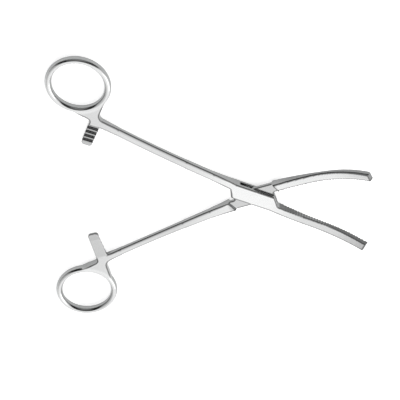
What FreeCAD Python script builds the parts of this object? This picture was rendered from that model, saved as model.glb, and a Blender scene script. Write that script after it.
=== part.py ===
import FreeCAD, Part
import math
import os
from types import SimpleNamespace
import Sketcher

# An angiotribe: a ring-handled crushing clamp of polished steel with a box lock.
# It is made of three pieces: the half that carries the box, the half whose flats pass
# through the box, and the pin that the halves turn on.
#
# Each half is drawn as it lies when the clamp is shut. The pin stands on the origin, the
# jaws point along +X, the finger rings lie on the -X side, and z = 0 is the middle of
# the box. The box half has its ring on the +Y side and its jaw on the -Y side, and the
# flat half is drawn the other way round. Lengths are in millimetres, angles in degrees.

DRIVING = [
    ("rest_angle", 39.9, "angle that the clamp lies open, from jaws shut"),
    ("ring_centre_back", 91.9, "ring centre behind the pin"),
    ("ring_centre_side", 30.1, "ring centre beside the middle line"),
    ("ring_long_radius", 13.3, "long half axis of a ring's middle line"),
    ("ring_short_radius", 12.5, "short half axis of a ring's middle line"),
    ("ring_end_radius", 12.0, "radius of the tight arcs of a ring's middle line"),
    ("ring_lean_angle", -39.0, "lean of a ring's long axis"),
    ("ring_wall", 3.06, "thickness of a ring across its opening"),
    ("ring_depth", 4.2, "thickness of a ring along the pin"),
    ("ring_crown", 1.0, "radius of the top and bottom of a ring's section"),
    ("neck_web_angle", -112.0, "where the web leaves the ring"),
    ("neck_ring_back", 78.3, "outer edge of the neck where it meets the ring"),
    ("neck_box_back", 78.5, "corner of neck and shank of the box half, behind the pin"),
    ("neck_flat_back", 77.0, "corner of neck and shank of the flat half, behind the pin"),
    ("neck_edge_side", 16.4, "corner of neck and shank beside the middle line"),
    ("neck_web_lap", 0.1, "how far the web stands out past the root of the ratchet"),
    ("neck_web_side", 14.8, "corner of the web beside the middle line"),
    ("neck_fillet", 3.5, "fillet between neck and shank"),
    ("web_fillet", 1.9, "fillet between web and ratchet"),
    ("shank_end_back", 75.0, "back end of the shank"),
    ("shank_box_inner", 11.8, "inner edge of the box half's shank at its back end"),
    ("shank_flat_inner", 12.3, "inner edge of the flat half's shank at its back end"),
    ("neck_thick", 3.9, "thickness of the neck beside the ring"),
    ("neck_thick_back", 86.0, "where the neck starts to thin down, behind the pin"),
    ("shank_end_thick", 2.7, "thickness of the shank at its back end"),
    ("shank_bow_radius", 650.0, "bow of the shanks towards the middle line"),
    ("shank_hollow", 1500.0, "radius of the shallow hollow in the shank's faces"),
    ("shank_front_thick", 3.3, "thickness of the shank just behind the box"),
    ("shank_front_back", 13.0, "front end of the shank"),
    ("shank_front_inner", 0.85, "inner edge of the shank at its front end"),
    ("box_thick", 4.2, "thickness over the box"),
    ("box_back", 10.0, "back end of the box on its outer side"),
    ("box_outer_back", 4.45, "outer side of the box at its back end"),
    ("box_outer_front", 3.65, "outer side of the box at its front end"),
    ("box_inner_back", 3.85, "inner side of the box at its back end"),
    ("box_inner_front", 4.5, "inner side of the box where the jaw starts"),
    ("shoulder_inner_back", 11.7, "back shoulder of the box near the middle line"),
    ("shoulder_outer_back", 9.5, "back shoulder of the box at its inner side"),
    ("shoulder_gap", 0.35, "gap between the two back shoulders when shut"),
    ("shoulder_fillet", 0.9, "fillet at the back shoulder of the box"),
    ("front_corner", 8.3, "front shoulder of the box at its outer side"),
    ("flat_front_outer", 9.9, "front shoulder of the flats at the jaw's outer side"),
    ("flat_front_inner", 11.5, "front shoulder of the flats at the middle line"),
    ("flat_thick", 1.5, "thickness of the flats"),
    ("flat_outer", 4.2, "half width of the flats"),
    ("flat_inset", 0.35, "how far the flats cross the middle line at each end"),
    ("slot_clearance", 0.06, "clearance of the flats in the slot, each side"),
    ("slot_radius", 9.3, "round end walls of the slot"),
    ("slot_running", 0.25, "clearance of the flats at the end walls"),
    ("pin_radius", 1.6, "radius of the pin"),
    ("pin_clearance", 0.05, "radial clearance of the pin in the flats"),
    ("pin_head", 0.4, "flare of the peened pin ends"),
    ("jaw_root", 11.8, "start of the gripping face"),
    ("jaw_outer_root", 9.0, "start of the jaw's outer side"),
    ("jaw_tip", 53.3, "reach of the jaw's upper edge from the pin"),
    ("jaw_tip_width", 4.2, "width of the jaw at its tip"),
    ("jaw_tip_rise", 10.53, "height of the jaw's upper edge at the tip"),
    ("jaw_tip_thick", 2.5, "thickness of the jaw at its tip"),
    ("jaw_tip_angle", 29.4, "upward slope of the jaw at its tip"),
    ("jaw_tip_fillet", 1.5, "rounded outer corner of the jaw tip"),
    ("jaw_outer_radius", 198.0, "curve of the jaw's outer side in plan"),
    ("grip_gap_root", 0.85, "half gap between the shut jaws at their root"),
    ("grip_gap_tip", 0.05, "half gap between the shut jaws at their tips"),
    ("grip_bow_radius", 300.0, "bow of the gripping face"),
    ("bend_start", 25.4, "start of the jaw's upward bend"),
    ("bend_start_rise", 3.0, "height of the jaw's upper face there"),
    ("bend_radius", 58.5, "radius of the bend on the upper face"),
    ("under_start", 36.3, "start of the bend on the jaw's lower face"),
    ("under_rise", 2.03, "height of the jaw's lower face there"),
    ("under_radius", 53.0, "radius of the bend on the lower face"),
    ("ratchet_box_root", 78.4, "root of the box half's ratchet behind the pin"),
    ("ratchet_box_tip", 78.4, "tip of the box half's ratchet behind the pin"),
    ("ratchet_box_end", -0.4, "tip of that ratchet beside the middle line"),
    ("ratchet_flat_root", 77.4, "root of the flat half's ratchet behind the pin"),
    ("ratchet_flat_tip", 76.4, "tip of the flat half's ratchet behind the pin"),
    ("ratchet_flat_end", -1.8, "tip of that ratchet beside the middle line"),
    ("ratchet_thick", 1.45, "thickness of a ratchet"),
    ("ratchet_root_width", 5.4, "width of a ratchet at its root"),
    ("ratchet_tip_width", 4.8, "width of a ratchet at its tip"),
    ("ratchet_gap", 0.24, "gap between the crests of the two ratchets"),
    ("ratchet_fillet", 1.3, "rounded tip corners of a ratchet"),
    ("tooth_pitch", 2.3, "pitch of the ratchet teeth"),
    ("tooth_depth", 0.8, "depth of the ratchet teeth"),
    ("tooth_ramp", 1.9, "length of a tooth's ramp"),
    ("tooth_first", 2.4, "first tooth from the ratchet's tip"),
    ("tooth_count", 4, "ratchet teeth of each half"),
    ("jaw_round", 0.7, "rounded long edges on the jaw's outer side"),
    ("box_round", 0.35, "rounded long edges of the box"),
    ("serration_pitch", 1.25, "pitch of the serrations"),
    ("serration_width", 0.85, "width of a serration groove"),
    ("serration_depth", 0.35, "depth of a serration groove"),
    ("serration_start", 15.0, "first serration from the pin"),
]

doc = FreeCAD.newDocument("angiotribe")


class Measure:
    """A length or angle: its number, and the sheet expression that gives it."""

    def __init__(self, number, text):
        self.number = number
        self.text = text

    @staticmethod
    def of(value):
        if isinstance(value, Measure):
            return value
        return Measure(value, "(%s)" % value)

    def __add__(self, other):
        other = Measure.of(other)
        return Measure(self.number + other.number, "(%s + %s)" % (self.text, other.text))

    def __sub__(self, other):
        other = Measure.of(other)
        return Measure(self.number - other.number, "(%s - %s)" % (self.text, other.text))

    def __mul__(self, other):
        other = Measure.of(other)
        return Measure(self.number * other.number, "(%s * %s)" % (self.text, other.text))

    def __truediv__(self, other):
        other = Measure.of(other)
        return Measure(self.number / other.number, "(%s / %s)" % (self.text, other.text))

    def __neg__(self):
        return Measure(-self.number, "(-%s)" % self.text)


def root(value):
    return Measure(math.sqrt(value.number), "sqrt(%s)" % value.text)


def cosine(angle):
    return Measure(math.cos(math.radians(angle.number)), "cos(%s * 1 deg)" % angle.text)


def sine(angle):
    return Measure(math.sin(math.radians(angle.number)), "sin(%s * 1 deg)" % angle.text)


def fill_sheet():
    sheet = doc.addObject("Spreadsheet::Sheet", "sizes")
    for row, (alias, value, meaning) in enumerate(DRIVING, start=1):
        sheet.set("A%d" % row, meaning)
        sheet.set("B%d" % row, str(value))
        sheet.setAlias("B%d" % row, alias)
    doc.recompute()
    return SimpleNamespace(**{a: Measure(v, "sizes.%s" % a) for a, v, _ in DRIVING})


size = fill_sheet()
ZERO = Measure(0.0, "0")
QUARTER = Measure(90.0, "90")


def base_plane(body, role):
    return [o for o in body.Origin.OriginFeatures if o.Role == role][0]


def arc_middle(start, end, radius, side):
    """Middle of the short arc between two points whose centre is on the given side."""
    chord = end - start
    left = FreeCAD.Vector(-chord.y, chord.x, 0).normalize()
    drop = math.sqrt(radius * radius - chord.Length ** 2 / 4)
    return (start + end) * 0.5 + left * side * (drop - radius)


def outline(body, name, role, corners):
    """Closed sketch through corners, each (x, y) or (x, y, radius, side) in measures.

    A corner with a radius starts an arc to the next corner. Its side is 1 where the
    arc's centre lies to the left of the way there, and -1 where it lies to the right.
    """
    sketch = body.newObject("Sketcher::SketchObject", name)
    sketch.AttachmentSupport = [(base_plane(body, role), "")]
    sketch.MapMode = "FlatFace"
    points = [FreeCAD.Vector(corner[0].number, corner[1].number, 0) for corner in corners]
    count = len(points)
    starts = []
    for i, corner in enumerate(corners):
        begin = points[i]
        end = points[(i + 1) % count]
        if len(corner) == 4:
            middle = arc_middle(begin, end, corner[2].number, corner[3])
            sketch.addGeometry(Part.Arc(begin, middle, end), False)
        else:
            sketch.addGeometry(Part.LineSegment(begin, end), False)
        at_start = sketch.getPoint(i, 1).distanceToPoint(begin) < 1e-6
        starts.append(1 if at_start else 2)
    for i in range(count):
        after = (i + 1) % count
        meet = Sketcher.Constraint("Coincident", i, 3 - starts[i], after, starts[after])
        sketch.addConstraint(meet)
    for i, corner in enumerate(corners):
        across = Sketcher.Constraint("DistanceX", -1, 1, i, starts[i], points[i].x)
        bind(sketch, across, "across%d" % i, corner[0])
        up = Sketcher.Constraint("DistanceY", -1, 1, i, starts[i], points[i].y)
        bind(sketch, up, "up%d" % i, corner[1])
        if len(corner) == 4:
            arc = Sketcher.Constraint("Radius", i, corner[2].number)
            bind(sketch, arc, "arc%d" % i, corner[2])
    doc.recompute()
    return sketch


def mirrored(corners):
    """The same corners on the other side of the first axis."""
    turned = []
    for corner in corners:
        turned.append((corner[0], -corner[1]) + corner[2:3] + tuple(-c for c in corner[3:]))
    return turned


def circle(body, name, role, radius):
    sketch = body.newObject("Sketcher::SketchObject", name)
    sketch.AttachmentSupport = [(base_plane(body, role), "")]
    sketch.MapMode = "FlatFace"
    middle = FreeCAD.Vector(0, 0, 0)
    up = FreeCAD.Vector(0, 0, 1)
    sketch.addGeometry(Part.Circle(middle, up, radius.number), False)
    sketch.addConstraint(Sketcher.Constraint("Coincident", 0, 3, -1, 1))
    bind(sketch, Sketcher.Constraint("Radius", 0, radius.number), "radius", radius)
    doc.recompute()
    return sketch


def bind(sketch, rule, name, value):
    index = sketch.addConstraint(rule)
    sketch.renameConstraint(index, name)
    sketch.setExpression("Constraints.%s" % name, value.text)


def extrude(body, kind, name, sketch, low, high):
    """Pad or pocket a sketch from one height to another above its plane."""
    sketch.setExpression("AttachmentOffset.Base.z", low.text)
    feature = body.newObject(kind, name)
    feature.Profile = sketch
    feature.Reversed = kind == "PartDesign::Pocket"
    feature.setExpression("Length", (high - low).text)
    doc.recompute()
    return feature


def cut_through(body, name, sketch, half_width):
    feature = body.newObject("PartDesign::Pocket", name)
    feature.Profile = sketch
    feature.SideType = "Symmetric"
    feature.setExpression("Length", (half_width * 2).text)
    doc.recompute()
    return feature


def edges_where(shape, test):
    return ["Edge%d" % (i + 1) for i, edge in enumerate(shape.Edges) if test(edge)]


def round_edges(body, name, radius, test):
    """Fillet the edges of the last feature that pass the test."""
    before = body.Tip
    names = edges_where(before.Shape, test)
    feature = body.newObject("PartDesign::Fillet", name)
    feature.Base = (before, names)
    feature.setExpression("Radius", radius.text)
    doc.recompute()
    return feature


def upright_at(places):
    """Test for edges along the pin's direction that stand on one of some places."""

    def test(edge):
        if not isinstance(edge.Curve, Part.Line) or abs(edge.Curve.Direction.z) < 0.999:
            return False
        foot = edge.Vertexes[0].Point
        return any(math.hypot(foot.x - x.number, foot.y - y.number) < 0.02 for x, y in places)

    return test


def beside_wall(shape, edge):
    """Whether exactly one of the two faces at an edge stands upright."""
    first, last = edge.ParameterRange
    middle = edge.valueAt((first + last) / 2)
    upright = 0
    for face in shape.ancestorsOfType(edge, Part.Face):
        across, along = face.Surface.parameter(middle)
        if abs(face.normalAt(across, along).z) < 0.05:
            upright += 1
    return upright == 1


def round_long_edges(body, name, radius, begin, end, low, high):
    """Round the long edges whose middle lies between two stations and two sides."""
    shape = body.Tip.Shape

    def test(edge):
        first, last = edge.ParameterRange
        middle = edge.valueAt((first + last) / 2)
        if edge.Length < size.box_thick.number or abs(edge.tangentAt((first + last) / 2).y) > 0.97:
            return False
        if not begin.number < middle.x < end.number or not low.number < middle.y < high.number:
            return False
        return beside_wall(shape, edge)

    return round_edges(body, name, radius, test)


# Places that both halves share, worked out from the driving dimensions.
ring_x = -size.ring_centre_back
ring_y = size.ring_centre_side
neck_radius = (size.ring_long_radius + size.ring_short_radius) / 2
half_box = size.box_thick / 2
tip_lower_x = size.jaw_tip + size.jaw_tip_thick * sine(size.jaw_tip_angle)
tip_lower_z = size.jaw_tip_rise - size.jaw_tip_thick * cosine(size.jaw_tip_angle)
flat_radius = size.slot_radius - size.slot_running


def on_circle(radius, offset):
    """Reach of a circle about the pin at some offset from the middle line."""
    return root(radius * radius - offset * offset)


def web_back(ratchet_root):
    """Corner of the web, just past the root of the ratchet."""
    return ratchet_root + size.ratchet_root_width / 2 + size.neck_web_lap


def neck_corners(web, shank_inner):
    """Inner side of the neck, from the ring to the foot of the ratchet."""
    turn = size.neck_web_angle
    return [
        (ring_x + neck_radius * cosine(turn), ring_y + neck_radius * sine(turn)),
        (-web, size.neck_web_side),
        (-web, shank_inner),
    ]


def handle_return(neck_back):
    """Outer side of shank and neck, from the box back to the ring."""
    return [
        (-size.box_back, size.box_outer_back, size.shank_bow_radius, -1),
        (-neck_back, size.neck_edge_side),
        (-size.neck_ring_back, ring_y),
        (ring_x + neck_radius, ring_y, neck_radius, -1),
    ]


def jaw_corners():
    """Outer side, tip and gripping face of the jaw."""
    tip_outer = -size.grip_gap_tip - size.jaw_tip_width
    return [
        (size.jaw_outer_root, -size.box_inner_front, size.jaw_outer_radius, 1),
        (tip_lower_x, tip_outer),
        (tip_lower_x, -size.grip_gap_tip, size.grip_bow_radius, -1),
        (size.jaw_root, -size.grip_gap_root),
    ]


def box_half_plan():
    neck = neck_corners(web_back(size.ratchet_box_root), size.shank_box_inner)
    shank = [
        (-size.shank_end_back, size.shank_box_inner, size.shank_bow_radius, 1),
        (-size.shank_front_back, size.shank_front_inner),
        (-size.shoulder_inner_back, size.shank_front_inner),
        (-size.shoulder_outer_back, -size.box_inner_back),
    ]
    front = [(size.front_corner, size.box_outer_front)]
    return neck + shank + jaw_corners() + front + handle_return(size.neck_box_back)


def flat_half_plan():
    end_inset = on_circle(flat_radius, size.flat_inset)
    end_outer = on_circle(flat_radius, size.flat_outer)
    neck = neck_corners(web_back(size.ratchet_flat_root), size.shank_flat_inner)
    shank = [
        (-size.shank_end_back, size.shank_flat_inner),
        (-size.shoulder_inner_back - size.shoulder_gap, -size.flat_inset),
        (-end_inset, -size.flat_inset, flat_radius, 1),
        (-end_outer, -size.flat_outer),
    ]
    front = [
        (size.flat_front_inner, size.flat_inset),
        (end_inset, size.flat_inset, flat_radius, 1),
        (end_outer, size.flat_outer),
    ]
    return neck + shank + jaw_corners() + front + handle_return(size.neck_flat_back)


def upper_profile():
    """Side view of what is cut away above a half."""
    top = size.jaw_tip_rise * 2
    back = ring_x - size.ring_long_radius * 2
    front = size.jaw_tip * 1.3
    return [
        (back, top),
        (back, size.neck_thick / 2),
        (-size.neck_thick_back, size.neck_thick / 2),
        (-size.shank_end_back, size.shank_end_thick / 2, size.shank_hollow, 1),
        (-size.shank_front_back, size.shank_front_thick / 2),
        (-size.box_back, half_box),
        (size.jaw_outer_root, half_box),
        (size.bend_start, size.bend_start_rise, size.bend_radius, 1),
        (size.jaw_tip, size.jaw_tip_rise),
        (tip_lower_x, tip_lower_z),
        (front, tip_lower_z),
        (front, top),
    ]


def lower_profile():
    """Side view of what is cut away below a half."""
    bottom = -size.jaw_tip_rise
    back = ring_x - size.ring_long_radius * 2
    front = size.jaw_tip * 1.3
    return [
        (back, bottom),
        (front, bottom),
        (front, tip_lower_z),
        (tip_lower_x, tip_lower_z, size.under_radius, -1),
        (size.under_start, size.under_rise),
        (size.jaw_outer_root, -half_box),
        (-size.box_back, -half_box),
        (-size.shank_front_back, -size.shank_front_thick / 2, size.shank_hollow, 1),
        (-size.shank_end_back, -size.shank_end_thick / 2),
        (-size.neck_thick_back, -size.neck_thick / 2),
        (back, -size.neck_thick / 2),
    ]


def slot_plan():
    """Plan of the space inside the box that the flats turn in."""
    far = size.box_back * 1.8
    corner = size.slot_radius / 2
    side = on_circle(size.slot_radius, corner)
    back_end = on_circle(size.slot_radius, size.shank_front_inner)
    front_end = on_circle(size.slot_radius, size.grip_gap_root)
    return [
        (-far, size.shank_front_inner),
        (-back_end, size.shank_front_inner, size.slot_radius, -1),
        (-corner, side),
        (far, side),
        (far, -size.grip_gap_root),
        (front_end, -size.grip_gap_root, size.slot_radius, -1),
        (corner, -side),
        (-far, -side),
    ]


def shoulder_plan():
    """Plan of what is milled off both faces of the flat half to leave its flats."""
    far = size.box_back
    back_lean = (size.shoulder_inner_back - size.shoulder_outer_back) / (
        size.shank_front_inner + size.box_inner_back
    )
    front_lean = (size.flat_front_inner - size.flat_front_outer) / size.flat_outer
    back_outer = -size.shoulder_outer_back - size.shoulder_gap
    return [
        (back_outer + back_lean * (far - size.box_inner_back), far),
        (back_outer - back_lean * (far + size.box_inner_back), -far),
        (size.flat_front_inner - front_lean * far, -far),
        (size.flat_front_inner + front_lean * far, far),
    ]


def ratchet_plan(root_back, tip_back, tip_side):
    root_side = size.shank_flat_inner + size.ratchet_root_width / 4
    return [
        (-root_back - size.ratchet_root_width / 2, root_side),
        (-tip_back - size.ratchet_tip_width / 2, tip_side),
        (-tip_back + size.ratchet_tip_width / 2, tip_side),
        (-root_back + size.ratchet_root_width / 2, root_side),
    ]


def tooth_section(tip_side):
    """First gap between teeth, seen along the handle; its steep side faces the root."""
    crest = -size.ratchet_gap / 2
    begin = tip_side + size.tooth_first
    return [
        (begin, crest + size.tooth_depth / 4),
        (begin, crest - size.tooth_depth),
        (begin + size.tooth_ramp, crest),
        (begin + size.tooth_ramp, crest + size.tooth_depth / 4),
    ]


def pin_section():
    """Half section of the pin, peened into a flare at each end, and of its seat."""
    head = size.pin_radius + size.pin_head
    return [
        (ZERO, -half_box),
        (head, -half_box),
        (size.pin_radius, size.pin_head - half_box),
        (size.pin_radius, half_box - size.pin_head),
        (head, half_box),
        (ZERO, half_box),
    ]


def oval(centre, long_radius, short_radius, end_radius, lean):
    """Corners of a closed oval of four arcs that join smoothly, its long axis leaning."""
    side_radius = (
        (long_radius - end_radius) * (long_radius - end_radius)
        + short_radius * short_radius
        - end_radius * end_radius
    ) / ((short_radius - end_radius) * 2)
    spread = side_radius - end_radius
    along = (long_radius - end_radius) * side_radius / spread
    aside = (side_radius - short_radius) * end_radius / spread
    corners = []
    for across, up, radius in (
        (along, -aside, end_radius),
        (along, aside, side_radius),
        (-along, aside, end_radius),
        (-along, -aside, side_radius),
    ):
        corners.append(
            (
                centre[0] + across * cosine(lean) - up * sine(lean),
                centre[1] + across * sine(lean) + up * cosine(lean),
                radius,
                1,
            )
        )
    return corners


def side_pocket(body, name, profile):
    """Cut a side view right through a half."""
    sketch = outline(body, name + "_view", "XZ_Plane", profile)
    pocket = body.newObject("PartDesign::Pocket", name)
    pocket.Profile = sketch
    pocket.SideType = "Symmetric"
    pocket.setExpression("Length", (size.ring_centre_side * 4).text)
    doc.recompute()
    return pocket


def plan_pocket(body, name, plan, low, high):
    sketch = outline(body, name + "_plan", "XY_Plane", plan)
    return extrude(body, "PartDesign::Pocket", name, sketch, low, high)


def sided(places, side):
    """Places drawn for the box half, or their mirror images for the flat half."""
    return places if side > 0 else mirrored(places)


def blank(body, plan, side, neck_back, web):
    """The flat forging of a half, cut out in plan."""
    sketch = outline(body, "plan", "XY_Plane", sided(plan, side))
    extrude(body, "PartDesign::Pad", "forging", sketch, -size.box_thick, size.jaw_tip_rise * 1.5)
    neck = [(-neck_back, size.neck_edge_side)]
    round_edges(body, "neck_round", size.neck_fillet, upright_at(sided(neck, side)))
    corner = [(-web, size.neck_web_side)]
    round_edges(body, "web_round", size.web_fillet, upright_at(sided(corner, side)))
    tip = [(tip_lower_x, -size.grip_gap_tip - size.jaw_tip_width)]
    round_edges(body, "tip_round", size.jaw_tip_fillet, upright_at(sided(tip, side)))


def shape_sides(body):
    side_pocket(body, "upper_side", upper_profile())
    side_pocket(body, "lower_side", lower_profile())


def soften(body, side):
    """Round the long edges of jaw and box."""
    jaw_back = size.jaw_root
    jaw_front = size.jaw_tip
    middle = -size.jaw_tip_width * 0.75
    outside = -size.box_inner_front * 2
    wide = size.ring_centre_side
    for name, radius, begin, end, low, high in (
        ("jaw_edges", size.jaw_round, jaw_back, jaw_front, outside, middle),
        ("box_edges", size.box_round, -size.box_back, size.front_corner, -middle, wide),
    ):
        if side < 0:
            low, high = -high, -low
        round_long_edges(body, name, radius, begin, end, low, high)


def ring(body, side):
    """Finger ring: an oval section swept along a larger oval that leans."""
    lean = size.ring_lean_angle if side > 0 else -size.ring_lean_angle
    centre_side = ring_y if side > 0 else -ring_y
    way_plan = oval(
        (ring_x, centre_side),
        size.ring_long_radius,
        size.ring_short_radius,
        size.ring_end_radius,
        lean,
    )
    way = outline(body, "ring_way", "XY_Plane", way_plan)
    section_plan = oval(
        (ZERO, ZERO), size.ring_depth / 2, size.ring_wall / 2, size.ring_crown, QUARTER
    )
    section = outline(body, "ring_section", "XZ_Plane", section_plan)
    start_x = ring_x + size.ring_long_radius * cosine(lean)
    start_y = centre_side + size.ring_long_radius * sine(lean)
    section.setExpression("AttachmentOffset.Base.x", start_x.text)
    section.setExpression("AttachmentOffset.Base.z", (-start_y).text)
    section.setExpression("AttachmentOffset.Rotation.Axis.y", "1")
    section.setExpression("AttachmentOffset.Rotation.Axis.z", "0")
    section.setExpression("AttachmentOffset.Rotation.Angle", lean.text)
    pipe = body.newObject("PartDesign::AdditivePipe", "finger_ring")
    pipe.Profile = section
    pipe.Spine = way
    doc.recompute()


def ratchet(body, side, root_back, tip_back, tip_side):
    """Toothed bar that stands across the handle, with its teeth cut into one face."""
    sketch = outline(
        body, "ratchet_plan", "XY_Plane", sided(ratchet_plan(root_back, tip_back, tip_side), side)
    )
    crest = size.ratchet_gap / 2
    if side > 0:
        extrude(body, "PartDesign::Pad", "ratchet", sketch, -crest - size.ratchet_thick, -crest)
    else:
        extrude(body, "PartDesign::Pad", "ratchet", sketch, crest, crest + size.ratchet_thick)
    corners = [
        (-tip_back - size.ratchet_tip_width / 2, tip_side),
        (-tip_back + size.ratchet_tip_width / 2, tip_side),
    ]
    round_edges(body, "ratchet_round", size.ratchet_fillet, upright_at(sided(corners, side)))
    gap = tooth_section(tip_side)
    if side < 0:
        gap = [(-along, -up) for along, up in gap]
    view = outline(body, "tooth_view", "YZ_Plane", gap)
    back = -root_back - size.ratchet_root_width
    tooth = extrude(body, "PartDesign::Pocket", "tooth", view, back, -tip_back + size.ratchet_tip_width)
    teeth = body.newObject("PartDesign::LinearPattern", "teeth")
    teeth.Originals = [tooth]
    teeth.Direction = (view, ["H_Axis"])
    teeth.Reversed = side < 0
    teeth.setExpression("Length", (size.tooth_pitch * (size.tooth_count - 1)).text)
    teeth.setExpression("Occurrences", size.tooth_count.text)
    body.Tip = teeth
    doc.recompute()


def grip_side(x):
    """Side of the gripping face at a station, from its bow."""
    start = FreeCAD.Vector(size.jaw_root.number, size.grip_gap_root.number, 0)
    end = FreeCAD.Vector(tip_lower_x.number, size.grip_gap_tip.number, 0)
    chord = end - start
    bow = size.grip_bow_radius.number
    drop = math.sqrt(bow ** 2 - chord.Length ** 2 / 4)
    normal = FreeCAD.Vector(chord.y, -chord.x, 0).normalize()
    centre = (start + end) * 0.5 + normal * drop
    return -centre.y - math.sqrt(bow ** 2 - (x - centre.x) ** 2)


def groove(station, height, lean, side):
    """Cutter for one serration: a wedge that stands across the gripping face.

    The wedge is as wide again at its back, which stands proud of the face by the
    depth of the groove, so at the face it has the groove's own width.
    """
    width = size.serration_width.number
    depth = size.serration_depth.number
    reach = size.box_thick.number
    face = grip_side(station)
    wedge = Part.makePolygon(
        [
            FreeCAD.Vector(-width, depth, -reach),
            FreeCAD.Vector(width, depth, -reach),
            FreeCAD.Vector(0, -depth, -reach),
            FreeCAD.Vector(-width, depth, -reach),
        ]
    )
    solid = Part.Face(wedge).extrude(FreeCAD.Vector(0, 0, reach * 2))
    solid.rotate(FreeCAD.Vector(0, 0, 0), FreeCAD.Vector(0, 1, 0), -lean)
    solid.translate(FreeCAD.Vector(station, face, height))
    if side < 0:
        solid = solid.mirror(FreeCAD.Vector(0, 0, 0), FreeCAD.Vector(0, 1, 0))
    return solid


def serration_cutters(side):
    """One wedge per serration, spaced along the jaw and square to its bend."""
    bend = size.bend_radius.number
    begin = FreeCAD.Vector(size.bend_start.number, 0, size.bend_start_rise.number)
    end = FreeCAD.Vector(size.jaw_tip.number, 0, size.jaw_tip_rise.number)
    chord = end - begin
    start_angle = math.atan2(chord.z, chord.x) - math.asin(chord.Length / 2 / bend)
    end_angle = math.atan2(chord.z, chord.x) + math.asin(chord.Length / 2 / bend)
    straight = size.bend_start.number - size.serration_start.number
    length = straight + bend * (end_angle - start_angle)
    wedges = []
    for turn in range(int(length / size.serration_pitch.number)):
        along = turn * size.serration_pitch.number - straight
        angle = start_angle + max(along, 0) / bend
        x = begin.x + bend * (math.sin(angle) - math.sin(start_angle)) + min(along, 0)
        z = begin.z + bend * (math.cos(start_angle) - math.cos(angle))
        wedges.append(groove(x, z, math.degrees(angle), side))
    cutters = doc.addObject("Part::Feature", "serration_cutters")
    cutters.Shape = Part.makeCompound(wedges)
    return cutters


def serrate(body, side, name):
    """Cut the serrations into the gripping face of a half."""
    cut = doc.addObject("Part::Cut", name)
    cut.Base = body
    cut.Tool = serration_cutters(side)
    doc.recompute()
    return cut


def build_box_half():
    """Half that carries the box: the slot for the flats and the seat of the pin."""
    body = doc.addObject("PartDesign::Body", "box_half_forging")
    blank(body, box_half_plan(), 1, size.neck_box_back, web_back(size.ratchet_box_root))
    shoulder = [(-size.shoulder_outer_back, -size.box_inner_back)]
    round_edges(body, "shoulder_round", size.shoulder_fillet, upright_at(shoulder))
    shape_sides(body)
    soften(body, 1)
    room = size.flat_thick / 2 + size.slot_clearance
    plan_pocket(body, "slot", slot_plan(), -room, room)
    bore = circle(body, "bore_plan", "XY_Plane", size.pin_radius)
    cut_through(body, "bore", bore, size.box_thick)
    flare = outline(body, "flare_section", "XZ_Plane", pin_section())
    seat = body.newObject("PartDesign::Groove", "flares")
    seat.Profile = flare
    seat.ReferenceAxis = (flare, ["V_Axis"])
    seat.Angle = 360
    doc.recompute()
    ring(body, 1)
    ratchet(body, 1, size.ratchet_box_root, size.ratchet_box_tip, size.ratchet_box_end)
    return serrate(body, 1, "box_half")


def build_flat_half():
    """Half whose flats pass through the box."""
    body = doc.addObject("PartDesign::Body", "flat_half_forging")
    blank(body, flat_half_plan(), -1, size.neck_flat_back, web_back(size.ratchet_flat_root))
    shape_sides(body)
    soften(body, -1)
    shoulders = mirrored(shoulder_plan())
    plan_pocket(body, "upper_flat", shoulders, size.flat_thick / 2, size.box_thick)
    plan_pocket(body, "lower_flat", shoulders, -size.box_thick, -size.flat_thick / 2)
    bore = circle(body, "bore_plan", "XY_Plane", size.pin_radius + size.pin_clearance)
    cut_through(body, "bore", bore, size.box_thick)
    ring(body, -1)
    ratchet(body, -1, size.ratchet_flat_root, size.ratchet_flat_tip, size.ratchet_flat_end)
    return serrate(body, -1, "flat_half")


def build_pin():
    body = doc.addObject("PartDesign::Body", "pivot_pin")
    sketch = outline(body, "section", "XZ_Plane", pin_section())
    turned = body.newObject("PartDesign::Revolution", "turned")
    turned.Profile = sketch
    turned.ReferenceAxis = (sketch, ["V_Axis"])
    turned.Angle = 360
    doc.recompute()
    return body


def lay_open(body, turn):
    """Open the clamp and set it on its rings, with its underside on z = 0."""
    body.setExpression("Placement.Base.z", (size.ring_depth / 2).text)
    body.setExpression("Placement.Rotation.Angle", turn.text)
    body.setExpression("Placement.Rotation.Axis.z", "1")
    doc.recompute()


parts = {
    "box_half": build_box_half(),
    "flat_half": build_flat_half(),
    "pivot_pin": build_pin(),
}
lay_open(parts["box_half"], -size.rest_angle / 2)
lay_open(parts["flat_half"], size.rest_angle / 2)
lay_open(parts["pivot_pin"], -size.rest_angle / 2)

for item in doc.Objects:
    if "Invalid" in item.State or "Error" in item.State:
        raise RuntimeError("%s did not build" % item.Name)
for name, piece in parts.items():
    piece.Label = name
    if piece.Shape.isNull() or not piece.Shape.isValid():
        raise RuntimeError("%s has no valid shape" % name)
os.makedirs("parts", exist_ok=True)
for name, piece in parts.items():
    piece.Shape.exportStep("parts/%s.step" % name)
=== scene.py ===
import math

import bmesh
import bpy
import numpy
from mathutils import Matrix, Vector


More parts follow.
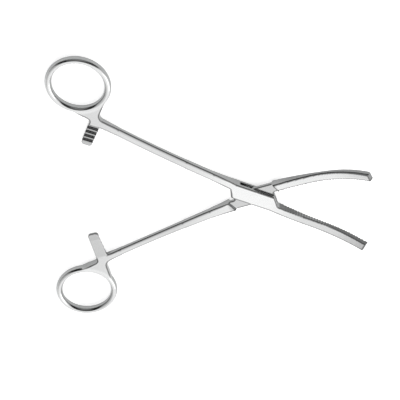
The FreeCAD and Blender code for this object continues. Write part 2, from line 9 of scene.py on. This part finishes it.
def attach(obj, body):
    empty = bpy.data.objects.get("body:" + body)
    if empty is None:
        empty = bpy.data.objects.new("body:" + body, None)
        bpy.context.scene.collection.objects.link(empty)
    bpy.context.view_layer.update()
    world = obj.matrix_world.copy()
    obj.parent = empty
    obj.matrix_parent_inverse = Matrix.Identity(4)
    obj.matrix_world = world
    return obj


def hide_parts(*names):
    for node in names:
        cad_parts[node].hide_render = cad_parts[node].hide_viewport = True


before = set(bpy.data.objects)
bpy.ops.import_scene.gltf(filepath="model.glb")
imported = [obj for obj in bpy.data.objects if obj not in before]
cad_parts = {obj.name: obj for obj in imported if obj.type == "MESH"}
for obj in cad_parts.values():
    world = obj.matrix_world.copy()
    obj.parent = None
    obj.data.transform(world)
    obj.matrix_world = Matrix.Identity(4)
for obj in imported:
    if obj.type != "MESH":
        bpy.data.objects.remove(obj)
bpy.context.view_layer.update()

# Sizes are in metres. +Z points up from the table, and +X from the rings to the jaws.
MM = 0.001

# Skin of a forging: the mesh's cell, and how often and how strongly it is smoothed, first
# all over by the polish and then on the ground edges, which get some stock beforehand.
SEAM = 0.001 * MM
CELL = 0.21 * MM
POLISH_ROUNDS = 3
POLISH_SHARE = 0.5
GRINDING_ROUNDS = 60
GRINDING_SHARE = 0.9
GRINDING_STOCK = 0.17 * MM
WEIGHT_STEPS = 20

# How far each half is turned from the middle line, and how far its shank leans in it.
HALF_TURN = math.radians(19.95)
SHANK_LEAN = math.radians(9.6)

# Places in a half's drawing, in mm, with the clamp shut and the pin at the origin, and the
# lengths over which one finish fades into the next.
RING_PLACE = (-91.9, 30.1)
RING_REACH = 15.2
RING_FADE = 1.5
NECK_BACK = -72.5
WEB_FADE = 6.0
RATCHET_SIDE = 12.6
RATCHET_FADE = 1.0
RATCHET_TIP = 1.9
RATCHET_TIP_FADE = 0.6
BOX_END = 12.5
GRIP_SIDE = 1.3
PIN_CLEAR = 3.4

# How strongly the wheel rounds the edges along a half, and on the gripping face.
GROUND_PLACES = (-110.0, -78.0, -74.0, -68.0, -20.0, -14.0, 13.0, 17.0, 60.0)
GROUND_SHARES = (0.1, 0.12, 0.3, 1.0, 1.0, 0.03, 0.03, 0.4, 0.3)
GRIP_GROUND = 0.05

# How far the painted shade of the sides reaches over the edges along a half.
EDGE_PLACES = (-78.0, -72.0, -14.0, -10.0, 10.0, 14.0, 30.0)
EDGE_SHARES = (0.1, 1.0, 1.0, 1.0, 1.0, 0.6, 0.1)

# Painted light and shade on the faces, brighter or darker by place along each half,
# on its ring and on its web.
BOX_PLACES = (-78.0, -60.0, -40.0, -25.0, -10.0, 8.0, 14.0, 24.0, 34.0, 53.0)
BOX_PAINTED_LIGHT = (0.76, 0.78, 0.74, 0.82, 0.95, 0.95, 0.88, 0.76, 0.74, 0.82)
FLAT_PLACES = (-78.0, -60.0, -40.0, -25.0, -13.0, -11.5, 10.5, 12.0, 24.0, 53.0)
FLAT_PAINTED_LIGHT = (0.78, 0.76, 0.7, 0.8, 0.86, 0.66, 0.66, 0.9, 0.86, 0.86)
RING_TONE = 0.88
WEB_TONE = 0.74

# The ratchets: the toothed one has painted shade in its valleys and painted light from a share
# of the teeth's height on, which is measured between two percentiles of the height. The other
# shows plain painted shade, and the ratchet's sides get painted shade too.
PLAIN_RATCHET_TONE = 0.62
TOOTH_TONES = (0.13, 0.46)
TOOTH_RISE = (0.05, 0.42)
TOOTH_LIMITS = (3, 97)
RATCHET_TIP_TONE = 0.56
RATCHET_SHADE = 0.55
MOSTLY = 0.9
HARDLY = 0.1

# Painted shade: fine dark lines on sharp edges: the bends per mm between which they come up,
# how dark they are, and how much of them the rings are spared.
EDGE_BEND = (0.2, 0.6)
EDGE_SHADE = 0.8
RING_PLAIN = 0.85
SMALLEST_STEP = 1e-6

# The jaws: painted shade that darkens the sides towards the tips and on the gripping face, and
# the painted shade band along the outer edge of the flat half's tip, whose width is set along
# the jaw and whose edge is found for each mm.
GRIP_TONE = 0.5
JAW_PLACES = (12.0, 18.0, 53.0)
JAW_SHADES = (1.0, 0.74, 0.66)
TIP_BAND_PLACES = (30.0, 34.0, 46.0, 54.0)
TIP_BAND_WIDTHS = (0.0, 0.3, 1.05, 1.3)
TIP_BAND_FADE = 0.2
TIP_CELLS = 56

# The steel's colours on faces and, as painted shade, on upright sides, which stands in for the
# darker surroundings they mirror. A surface counts as a side where its normal's upright part
# is under SIDES_STEEP, and as a face where it is over SIDES_FLAT, which the painted shade
# reaching over the edges raises by up to SIDES_SPREAD.
FACE_COLOUR = (0.995, 1.0, 1.0)
SIDE_PAINTED_SHADE = (0.325, 0.33, 0.33)
SIDES_STEEP = 0.5
SIDES_FLAT = 0.8
SIDES_SPREAD = 0.17

# The polishing grain: scales and details of its scratches and clouds, how much longer it is
# than wide, how the clouds change tone and roughness, and how deep the scratches look.
SCRATCH_SCALE = 900.0
SCRATCH_DETAIL = 4
CLOUD_SCALE = 45.0
CLOUD_DETAIL = 2
GRAIN_STRETCH = 12
CLOUD_RANGE = (0.3, 0.7)
CLOUD_TONES = (0.95, 1.04)
HALF_ROUGHNESS = (0.18, 0.24)
PIN_ROUGHNESS = (0.18, 0.22)
SCRATCH_STRENGTH = 0.03
SCRATCH_DEPTH = 0.02 * MM

# The peened pin: radii and heights in mm, from its lower to its upper end, and the values of
# its painted light and shade.
PIN_PROFILE = (
    (0.0, 0.0), (2.25, 0.0), (2.3, 0.03), (2.3, 0.12), (1.6, 0.2), (1.6, 4.0),
    (2.3, 4.08), (2.3, 4.18), (2.25, 4.215), (0.0, 4.215),
)
PIN_STEPS = 64
PIN_PAINTED_LIGHT = (("face_painted_light_shade", 0.96), ("side_painted_shade", 1.0), ("side_shade_reach", 0.0), ("tip_painted_shade", 0.0))

# Camera: where it looks, how far away it stands, and its turns.
LOOKS_AT = Vector((-23.97 * MM, -3.46 * MM, 2.1 * MM))
CAMERA_DISTANCE = 0.890
CAMERA_TILT = math.radians(40.89)
CAMERA_AZIMUTH = math.radians(-1.68)
CAMERA_ROLL = math.radians(0.42)
CAMERA_CLIP = (0.01, 10)
SENSOR = 36.0
LENS = 180.3

# The studio: a white tent, dark on the +Y side, where the rounded edges of the steel mirror
# it as dark lines, less dark low down on that side, and greyer on the rings' side. Each is
# set by a part of a direction.
TENT_BRIGHT = 1.0
DARK_SIDE = (0.3, 0.44)
DARK_LEVEL = 0.02
LOW_SIDE = (0.72, 0.9)
LOW_LEVEL = 0.4
GREY_SIDE = (-0.75, -0.2)
GREY_SHARE = 0.55
WINDOW_PLACE = (1.0, -0.4, 0.5)
WINDOW_SIZE = 0.9
WINDOW_POWER = 2.5
WHITE = (1, 1, 1, 1)

# The backdrop the clamp lies on.
BACKDROP_REACH = 3.0
BACKDROP_GLOW = 0.65
BACKDROP_COLOUR = (0.93, 0.93, 0.93, 1)
BACKDROP_ROUGHNESS = 0.9

# Sockets of a Mix node that mixes colours.
MIX_FIRST = 6
MIX_SECOND = 7
MIX_RESULT = 2


def point_values(mesh, label):
    """A value with three parts for every point of a mesh, as an array."""
    values = numpy.empty(len(mesh.vertices) * 3)
    mesh.vertices.foreach_get(label, values)
    return values.reshape(-1, 3)


def drawn_places(mesh, half_turn):
    """The mesh's points in the drawing of their half, in mm, as arrays."""
    places = point_values(mesh, "co") / MM
    cos, sin = math.cos(half_turn), math.sin(half_turn)
    x = places[:, 0] * cos + places[:, 1] * sin
    y = places[:, 1] * cos - places[:, 0] * sin
    return x, y, places[:, 2]


def fade(distance, length):
    """0 before a border, 1 once a length past it."""
    return numpy.clip(distance / length, 0, 1)


def ratchet_zone(x, outward):
    """1 on the ratchet and 0 elsewhere, with a short fade."""
    return fade(RATCHET_SIDE - outward, RATCHET_FADE) * fade(NECK_BACK - x, RATCHET_FADE)


def ring_zone(x, outward):
    """1 on the finger ring and 0 elsewhere, with a short fade."""
    reach = numpy.hypot(x - RING_PLACE[0], outward - RING_PLACE[1])
    return fade(RING_REACH - reach, RING_FADE)


def gripping_zone(x, y):
    """True on the gripping face of a jaw."""
    return (x > BOX_END) & (numpy.abs(y) < GRIP_SIDE)


def ground_shares(mesh, half_turn, side):
    """How strongly the edges are rounded at each point of a half."""
    x, y, _ = drawn_places(mesh, half_turn)
    shares = numpy.interp(x, GROUND_PLACES, GROUND_SHARES)
    shares = shares * (1 - ratchet_zone(x, y * side))
    return numpy.where(gripping_zone(x, y), GRIP_GROUND, shares)


def edge_lines(mesh):
    """1 along the outward edges of a mesh, a cell or two wide, and 0 elsewhere."""
    count = len(mesh.vertices)
    places = point_values(mesh, "co") / MM
    normals = point_values(mesh, "normal")
    ends = numpy.empty(len(mesh.edges) * 2, dtype=numpy.int32)
    mesh.edges.foreach_get("vertices", ends)
    first, last = ends.reshape(-1, 2).T
    step = places[last] - places[first]
    turn = normals[last] - normals[first]
    length = numpy.maximum((step * step).sum(axis=1), SMALLEST_STEP)
    bend = (step * turn).sum(axis=1) / length
    total = numpy.bincount(first, bend, count) + numpy.bincount(last, bend, count)
    number = numpy.bincount(first, minlength=count) + numpy.bincount(last, minlength=count)
    bend = total / numpy.maximum(number, 1)
    edge = fade(bend - EDGE_BEND[0], EDGE_BEND[1] - EDGE_BEND[0])
    wider = edge.copy()
    numpy.maximum.at(wider, first, edge[last])
    numpy.maximum.at(wider, last, edge[first])
    return wider


def tip_band(x, outward):
    """1 on the painted shade band along the outer edge of a jaw's tip, 0 elsewhere."""
    cells = numpy.clip(x.astype(int), 0, TIP_CELLS - 1)
    edge = numpy.zeros(TIP_CELLS)
    numpy.maximum.at(edge, cells, -outward)
    width = numpy.interp(x, TIP_BAND_PLACES, TIP_BAND_WIDTHS)
    inside = width - edge[cells] - outward
    return fade(inside + TIP_BAND_FADE / 2, TIP_BAND_FADE) * (width > 0)


def painted_tooth_shade(z, zone):
    """Painted shade on the teeth of a ratchet: dark in the valleys, painted light above them.
    """
    top = zone & (z > z[zone].mean())
    low, high = numpy.percentile(z[top], TOOTH_LIMITS)
    return numpy.interp((z - low) / (high - low), TOOTH_RISE, TOOTH_TONES)


def painted_light_attributes(mesh, half_turn, side, places, tones):
    """Store the painted light and shade of a half's faces and sides, and its painted shade
    band.
    """
    x, y, z = drawn_places(mesh, half_turn)
    outward = y * side
    # Painted light and shade on the faces: brighter or darker by place, on the ring, web and
    # ratchet.
    faces = numpy.interp(x, places, tones)
    web = fade(NECK_BACK - x, WEB_FADE)
    faces = faces * (1 - web) + WEB_TONE * web
    ring = ring_zone(x, outward)
    faces = faces * (1 - ring) + RING_TONE * ring
    ratchet = ratchet_zone(x, outward)
    tip = fade(RATCHET_TIP - outward, RATCHET_TIP_FADE)
    teeth = PLAIN_RATCHET_TONE
    if side > 0:
        teeth = painted_tooth_shade(z, (ratchet > MOSTLY) & (tip < HARDLY))
    ratchet_tones = teeth * (1 - tip) + RATCHET_TIP_TONE * tip
    faces = faces * (1 - ratchet) + ratchet_tones * ratchet
    # Painted shade: dark lines along sharp edges, left off the ratchet, round the pin and
    # mostly on the rings.
    edge = edge_lines(mesh) * (numpy.hypot(x, y) > PIN_CLEAR) * (1 - ratchet)
    faces = faces * (1 - EDGE_SHADE * edge * (1 - ring * RING_PLAIN))
    # Painted shade on the sides: darker on the gripping face, on the ratchet and towards the
    # jaw tips.
    sides = numpy.where(gripping_zone(x, y), GRIP_TONE, 1.0 - ratchet * RATCHET_SHADE)
    sides = sides * numpy.interp(x, JAW_PLACES, JAW_SHADES)
    # The last attribute is the painted shade band along the flat half's tip.
    for label, values in (
        ("face_painted_light_shade", faces),
        ("side_painted_shade", sides),
        ("side_shade_reach", numpy.interp(x, EDGE_PLACES, EDGE_SHARES)),
        ("tip_painted_shade", tip_band(x, outward) * (side < 0)),
    ):
        attribute = mesh.attributes.new(label, "FLOAT", "POINT")
        attribute.data.foreach_set("value", values.astype(numpy.float32))


def applied(piece):
    """The piece's mesh with its modifiers applied and removed."""
    evaluated = piece.evaluated_get(bpy.context.evaluated_depsgraph_get())
    mesh = bpy.data.meshes.new_from_object(evaluated)
    piece.modifiers.clear()
    piece.data = mesh
    return mesh


def smoothed(piece, name, share, rounds):
    """A Smooth modifier on a piece."""
    smooth = piece.modifiers.new(name, "SMOOTH")
    smooth.factor = share
    smooth.iterations = rounds
    return smooth


def polished_skin(name, node, half_turn, side):
    """A copy of a half with its edges rounded as grinding and polishing leave them."""
    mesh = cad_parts[node].data.copy()
    work = bmesh.new()
    work.from_mesh(mesh)
    bmesh.ops.remove_doubles(work, verts=work.verts, dist=SEAM)
    work.to_mesh(mesh)
    work.free()
    piece = bpy.data.objects.new(name, mesh)
    bpy.context.scene.collection.objects.link(piece)
    remesh = piece.modifiers.new("skin", "REMESH")
    remesh.mode = "VOXEL"
    remesh.voxel_size = CELL
    smoothed(piece, "polish", POLISH_SHARE, POLISH_ROUNDS)
    skin = applied(piece)
    levels = numpy.rint(ground_shares(skin, half_turn, side) * WEIGHT_STEPS)
    ground = piece.vertex_groups.new(name="ground_edges")
    for level in range(1, WEIGHT_STEPS + 1):
        members = numpy.flatnonzero(levels == level).tolist()
        ground.add(members, level / WEIGHT_STEPS, "REPLACE")
    stock = piece.modifiers.new("grinding_stock", "DISPLACE")
    stock.strength = GRINDING_STOCK
    stock.mid_level = 0.0
    stock.vertex_group = ground.name
    smooth = smoothed(piece, "ground_edges", GRINDING_SHARE, GRINDING_ROUNDS)
    smooth.vertex_group = ground.name
    polished = applied(piece)
    piece.vertex_groups.clear()
    polished.name = name
    polished.shade_smooth()
    return piece


def shared_group(name, numbers, vectors, results):
    """A node group's tree, with its named inputs and outputs, and its two end nodes."""
    group = bpy.data.node_groups.new(name, "ShaderNodeTree")
    face = group.interface
    for label, default in numbers:
        socket = face.new_socket(label, in_out="INPUT", socket_type="NodeSocketFloat")
        socket.default_value = default
    for label in vectors:
        face.new_socket(label, in_out="INPUT", socket_type="NodeSocketVector")
    for label in results:
        face.new_socket(label, in_out="OUTPUT", socket_type="NodeSocketFloat")
    inputs = group.nodes.new("NodeGroupInput")
    outputs = group.nodes.new("NodeGroupOutput")
    return group, inputs, outputs


def grain_group():
    """Fine scratches of the polishing wheel along a half, with faint cloudy patches."""
    numbers = (("Fine Scale", SCRATCH_SCALE), ("Cloud Scale", CLOUD_SCALE))
    group, inputs, outputs = shared_group(
        "polishing_grain", numbers, ("Vector",), ("Scratches", "Clouds")
    )
    for label, scale, detail in (
        ("Scratches", "Fine Scale", SCRATCH_DETAIL),
        ("Clouds", "Cloud Scale", CLOUD_DETAIL),
    ):
        noise = group.nodes.new("ShaderNodeTexNoise")
        noise.inputs["Detail"].default_value = detail
        group.links.new(inputs.outputs["Vector"], noise.inputs["Vector"])
        group.links.new(inputs.outputs[scale], noise.inputs["Scale"])
        group.links.new(noise.outputs["Fac"], outputs.inputs[label])


def side_group():
    """Mask of the painted shade: 1 where the surface stands upright or on the painted tip
    band, 0 on faces.
    """
    numbers = (("Steep", SIDES_STEEP), ("Flat", SIDES_FLAT), ("Tip Painted Shade", 0.0))
    group, inputs, outputs = shared_group("upright_painted_shade", numbers, ("Normal",), ("Sides",))
    nodes, links = group.nodes, group.links
    split = nodes.new("ShaderNodeSeparateXYZ")
    links.new(inputs.outputs["Normal"], split.inputs["Vector"])
    upright = calculated(nodes, links, "ABSOLUTE", split.outputs["Z"])
    span = nodes.new("ShaderNodeMapRange")
    span.interpolation_type = "SMOOTHSTEP"
    span.inputs["To Min"].default_value = 1.0
    span.inputs["To Max"].default_value = 0.0
    links.new(upright, span.inputs["Value"])
    links.new(inputs.outputs["Steep"], span.inputs["From Min"])
    links.new(inputs.outputs["Flat"], span.inputs["From Max"])
    tip_painted_shade = inputs.outputs["Tip Painted Shade"]
    sides = calculated(nodes, links, "MAXIMUM", span.outputs["Result"], tip_painted_shade)
    links.new(sides, outputs.inputs["Sides"])


def calculated(nodes, links, operation, *values):
    """The result of a Math node on linked values."""
    math_node = nodes.new("ShaderNodeMath")
    math_node.operation = operation
    for place, value in enumerate(values):
        links.new(value, math_node.inputs[place])
    return math_node.outputs["Value"]


def spanned(nodes, links, value, from_range, to_range, interpolation="LINEAR"):
    """A linked value carried from one range to another."""
    span = nodes.new("ShaderNodeMapRange")
    span.interpolation_type = interpolation
    labels = ("From Min", "From Max", "To Min", "To Max")
    for label, number in zip(labels, from_range + to_range):
        span.inputs[label].default_value = number
    links.new(value, span.inputs["Value"])
    return span.outputs["Result"]


def stored(nodes, label):
    """One of the piece's own attributes."""
    attribute = nodes.new("ShaderNodeAttribute")
    attribute.attribute_name = label
    return attribute.outputs["Fac"]


def scaled(nodes, links, amount):
    """A node that makes a colour brighter or darker by a linked amount."""
    node = nodes.new("ShaderNodeVectorMath")
    node.operation = "SCALE"
    links.new(amount, node.inputs["Scale"])
    return node


def steel(name, turn, roughness):
    """Stainless steel with painted light and shade on its faces and painted shade on its
    upright sides, its grain along a half.
    """
    material = bpy.data.materials.new(name)
    material.use_nodes = True
    nodes = material.node_tree.nodes
    links = material.node_tree.links
    shader = nodes["Principled BSDF"]
    shader.inputs["Metallic"].default_value = 1.0
    place = nodes.new("ShaderNodeTexCoord")
    along = nodes.new("ShaderNodeMapping")
    along.vector_type = "TEXTURE"
    along.inputs["Rotation"].default_value = (0, 0, turn)
    along.inputs["Scale"].default_value = (GRAIN_STRETCH, 1, 1)
    links.new(place.outputs["Object"], along.inputs["Vector"])
    grain = nodes.new("ShaderNodeGroup")
    grain.node_tree = bpy.data.node_groups["polishing_grain"]
    links.new(along.outputs["Vector"], grain.inputs["Vector"])
    mask = nodes.new("ShaderNodeGroup")
    mask.node_tree = bpy.data.node_groups["upright_painted_shade"]
    reach = (SIDES_FLAT, SIDES_FLAT + SIDES_SPREAD)
    flat = spanned(nodes, links, stored(nodes, "side_shade_reach"), (0.0, 1.0), reach)
    links.new(place.outputs["Normal"], mask.inputs["Normal"])
    links.new(flat, mask.inputs["Flat"])
    links.new(stored(nodes, "tip_painted_shade"), mask.inputs["Tip Painted Shade"])
    colour = nodes.new("ShaderNodeMix")
    colour.data_type = "RGBA"
    links.new(mask.outputs["Sides"], colour.inputs["Factor"])
    # Painted light and shade: the face and side colours are scaled by the stored painted
    # tones.
    for label, base, socket in (
        ("face_painted_light_shade", FACE_COLOUR, MIX_FIRST),
        ("side_painted_shade", SIDE_PAINTED_SHADE, MIX_SECOND),
    ):
        toned = scaled(nodes, links, stored(nodes, label))
        toned.inputs["Vector"].default_value = base
        links.new(toned.outputs["Vector"], colour.inputs[socket])
    clouds = grain.outputs["Clouds"]
    clouded = scaled(nodes, links, spanned(nodes, links, clouds, CLOUD_RANGE, CLOUD_TONES))
    links.new(colour.outputs[MIX_RESULT], clouded.inputs["Vector"])
    links.new(clouded.outputs["Vector"], shader.inputs["Base Color"])
    rough = spanned(nodes, links, clouds, CLOUD_RANGE, roughness)
    links.new(rough, shader.inputs["Roughness"])
    bump = nodes.new("ShaderNodeBump")
    bump.inputs["Strength"].default_value = SCRATCH_STRENGTH
    bump.inputs["Distance"].default_value = SCRATCH_DEPTH
    links.new(grain.outputs["Scratches"], bump.inputs["Height"])
    links.new(bump.outputs["Normal"], shader.inputs["Normal"])
    return material


def camera():
    """The photograph's camera, on the +Y side above the clamp."""
    tilt, azimuth = CAMERA_TILT, CAMERA_AZIMUTH
    back = Vector((
        -math.sin(tilt) * math.sin(azimuth),
        math.sin(tilt) * math.cos(azimuth),
        math.cos(tilt),
    ))
    side_axis = Vector((0, 1, 0))
    up = (side_axis - back * side_axis.dot(back)).normalized()
    right = up.cross(back)
    turned_right = right * math.cos(CAMERA_ROLL) + up * math.sin(CAMERA_ROLL)
    turned_up = up * math.cos(CAMERA_ROLL) - right * math.sin(CAMERA_ROLL)
    data = bpy.data.cameras.new("camera")
    data.sensor_width = SENSOR
    data.lens = LENS
    data.clip_start, data.clip_end = CAMERA_CLIP
    view = bpy.data.objects.new("camera", data)
    place = LOOKS_AT + back * CAMERA_DISTANCE
    view.matrix_world = Matrix.Translation(place) @ Matrix(
        (turned_right, turned_up, back)
    ).transposed().to_4x4()
    bpy.context.scene.collection.objects.link(view)
    bpy.context.scene.camera = view


def seen_directly(nodes, links, glow):
    """The backdrop's own white: for the camera, and for what steel and glass show of it."""
    path = nodes.new("ShaderNodeLightPath")
    seen = path.outputs["Is Camera Ray"]
    for label in ("Is Glossy Ray", "Is Transmission Ray"):
        seen = calculated(nodes, links, "MAXIMUM", seen, path.outputs[label])
    return spanned(nodes, links, seen, (0.0, 1.0), (0.0, glow))


def backdrop():
    """The white floor, which keeps the clamp's shadow."""
    mesh = bpy.data.meshes.new("floor")
    far = BACKDROP_REACH
    corners = [(-far, -far, 0), (far, -far, 0), (far, far, 0), (-far, far, 0)]
    mesh.from_pydata(corners, [], [(0, 1, 2, 3)])
    ground = bpy.data.objects.new("floor", mesh)
    bpy.context.scene.collection.objects.link(ground)
    material = bpy.data.materials.new("white_backdrop")
    material.use_nodes = True
    nodes = material.node_tree.nodes
    links = material.node_tree.links
    shader = nodes["Principled BSDF"]
    shader.inputs["Base Color"].default_value = BACKDROP_COLOUR
    shader.inputs["Roughness"].default_value = BACKDROP_ROUGHNESS
    shader.inputs["Specular IOR Level"].default_value = 0.0
    shader.inputs["Emission Color"].default_value = WHITE
    links.new(seen_directly(nodes, links, BACKDROP_GLOW), shader.inputs["Emission Strength"])
    mesh.materials.append(material)


def studio():
    """World light: a white tent, with its dark side and its greyer side."""
    world = bpy.data.worlds.new("studio")
    world.use_nodes = True
    nodes = world.node_tree.nodes
    links = world.node_tree.links
    background = nodes["Background"]
    place = nodes.new("ShaderNodeTexCoord")
    split = nodes.new("ShaderNodeSeparateXYZ")
    links.new(place.outputs["Generated"], split.inputs["Vector"])
    across, along = split.outputs["Y"], split.outputs["X"]
    levels = (TENT_BRIGHT, DARK_LEVEL)
    opening = spanned(nodes, links, across, DARK_SIDE, levels, "SMOOTHSTEP")
    low_light = spanned(nodes, links, across, LOW_SIDE, (0.0, LOW_LEVEL), "SMOOTHSTEP")
    grey = spanned(nodes, links, along, GREY_SIDE, (GREY_SHARE, 1.0), "SMOOTHSTEP")
    lifted = calculated(nodes, links, "ADD", opening, low_light)
    strength = calculated(nodes, links, "MULTIPLY", lifted, grey)
    background.inputs["Color"].default_value = WHITE
    links.new(strength, background.inputs["Strength"])
    bpy.context.scene.world = world


def window():
    """A soft square lamp beyond the jaws, aimed at the pin."""
    data = bpy.data.lights.new("side_window", "AREA")
    data.shape = "SQUARE"
    data.size = WINDOW_SIZE
    data.energy = WINDOW_POWER
    light = bpy.data.objects.new("side_window", data)
    light.location = WINDOW_PLACE
    light.rotation_euler = (-Vector(WINDOW_PLACE)).to_track_quat("-Z", "Y").to_euler()
    bpy.context.scene.collection.objects.link(light)


def lathe(name, profile, steps):
    """A closed turned piece on the pin's axis, from its profile's radii and heights in mm."""
    points, faces = [], []
    for radius, height in profile[1:-1]:
        for step in range(steps):
            angle = math.tau * step / steps
            across, along = radius * math.cos(angle), radius * math.sin(angle)
            points.append((across * MM, along * MM, height * MM))
    rows = len(profile) - 2
    for row in range(rows - 1):
        for step in range(steps):
            after = (step + 1) % steps
            low, high = row * steps, (row + 1) * steps
            faces.append((low + step, low + after, high + after, high + step))
    faces.append(tuple(reversed(range(steps))))
    faces.append(tuple(range((rows - 1) * steps, rows * steps)))
    mesh = bpy.data.meshes.new(name)
    mesh.from_pydata(points, [], faces)
    piece = bpy.data.objects.new(name, mesh)
    bpy.context.scene.collection.objects.link(piece)
    return piece


camera()
backdrop()
studio()
window()

grain_group()
side_group()
for piece_name, node, body, side, places, tones in (
    ("box_half_polished", "box_half", "half_with_box", 1, BOX_PLACES, BOX_PAINTED_LIGHT),
    ("flat_half_polished", "flat_half", "half_with_flats", -1, FLAT_PLACES, FLAT_PAINTED_LIGHT),
):
    half_turn = -HALF_TURN * side
    piece = polished_skin(piece_name, node, half_turn, side)
    painted_light_attributes(piece.data, half_turn, side, places, tones)
    grain_turn = half_turn - SHANK_LEAN * side
    piece.data.materials.clear()
    piece.data.materials.append(steel(node + "_steel", grain_turn, HALF_ROUGHNESS))
    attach(piece, body)
    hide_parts(node)

pin = lathe("pivot_pin_peened", PIN_PROFILE, PIN_STEPS)
for label, value in PIN_PAINTED_LIGHT:
    attribute = pin.data.attributes.new(label, "FLOAT", "POINT")
    attribute.data.foreach_set("value", [value] * len(pin.data.vertices))
pin.data.materials.append(steel("pin_steel", 0.0, PIN_ROUGHNESS))
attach(pin, "half_with_box")
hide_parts("pivot_pin")

bpy.context.scene.view_settings.view_transform = "Standard"
